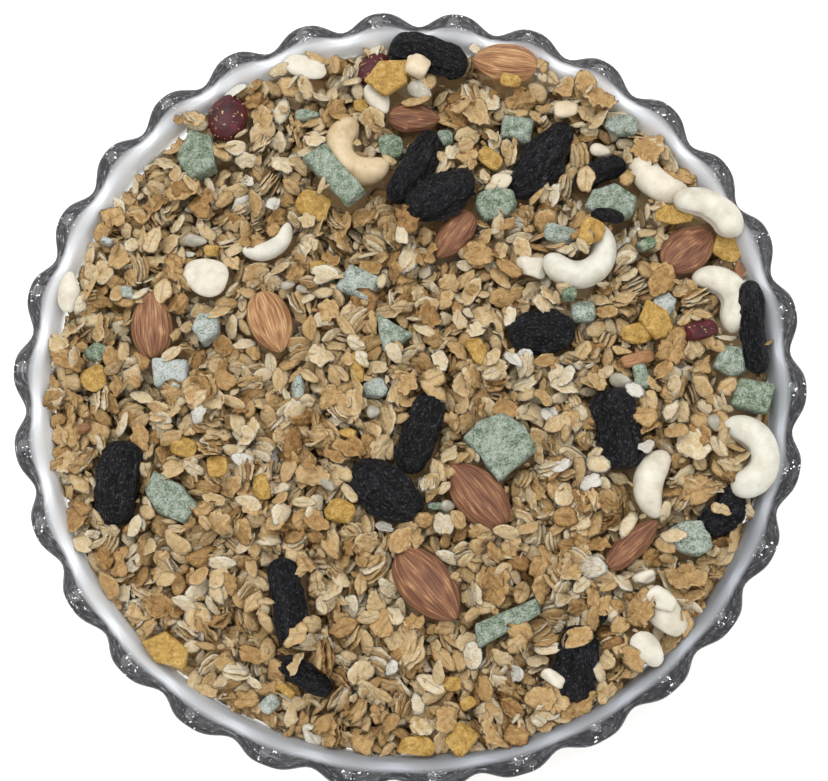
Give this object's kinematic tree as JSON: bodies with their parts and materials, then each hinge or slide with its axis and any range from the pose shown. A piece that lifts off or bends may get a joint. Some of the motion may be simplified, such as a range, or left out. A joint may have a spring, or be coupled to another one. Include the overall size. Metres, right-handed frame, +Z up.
{
  "type": "bowl of granola",
  "caption": "Round pressed glass bowl with a scalloped rim, filled nearly to the brim with oat granola, raisins, almonds, cashews and candied fruit.",
  "frame": {"origin": "middle of the foot ring, on the surface the bowl stands on", "axes": "+Z up; +X to the right and +Y to the far side as the picture shows the bowl"},
  "size_m": [0.2396, 0.2398, 0.0818],
  "materials": {
    "glass": "clear polished pressed glass",
    "oats": "matt toasted oat flakes",
    "raisin": "wrinkled, faint sheen on the folds",
    "almond": "matt ridged skin",
    "cashew": "smooth, slightly waxy",
    "nut": "smooth broken nut",
    "candied_fruit": "grainy sugar frosting",
    "berry": "wrinkled with a soft shine",
    "yellow_fruit": "matt dried fruit"
  },
  "bodies": {
    "root": {"bowl": "glass", "raisin_top": "raisin", "raisin_crossed": "raisin", "raisin_upper_middle": "raisin", "raisin_upper_right": "raisin", "raisin_under_oats": "raisin", "raisin_right_of_middle": "raisin", "raisin_middle": "raisin", "raisin_oval": "raisin", "raisin_left": "raisin", "raisin_right": "raisin", "raisin_lower_left": "raisin", "raisin_under_oat": "raisin", "raisin_bottom": "raisin", "raisin_right_rim": "raisin", "raisin_lower_right": "raisin", "almond_top": "almond", "almond_upper": "almond", "almond_under_raisin": "almond", "almond_left": "almond", "almond_pale": "almond", "almond_middle": "almond", "almond_lower": "almond", "almond_lower_right": "almond", "almond_right_rim": "almond", "cashew_tan": "cashew", "cashew_white": "cashew", "cashew_upper_right": "cashew", "cashew_upper_rim": "cashew", "cashew_right": "cashew", "cashew_right_rim": "cashew", "cashew_half": "cashew", "cashew_crescent": "cashew", "nut_left": "nut", "nut_upper": "nut", "nut_left_rim": "nut", "nut_top_rim": "nut", "nut_lower_rim": "nut", "nut_wedge": "nut", "fruit_upper_left": "candied_fruit", "fruit_bar": "candied_fruit", "fruit_upper_right": "candied_fruit", "fruit_frosted": "candied_fruit", "fruit_large": "candied_fruit", "fruit_slanted": "candied_fruit", "fruit_triangle": "candied_fruit", "fruit_left": "candied_fruit", "fruit_square": "candied_fruit", "fruit_leaf": "candied_fruit", "fruit_star": "candied_fruit", "fruit_tapered": "candied_fruit", "fruit_right": "candied_fruit", "fruit_right_rim": "candied_fruit", "fruit_oval": "candied_fruit", "berry_upper_left": "berry", "berry_top": "berry", "slice_top": "yellow_fruit", "slice_lower_left": "yellow_fruit", "slice_right": "yellow_fruit", "granola": "oats"}
  },
  "joints": []
}
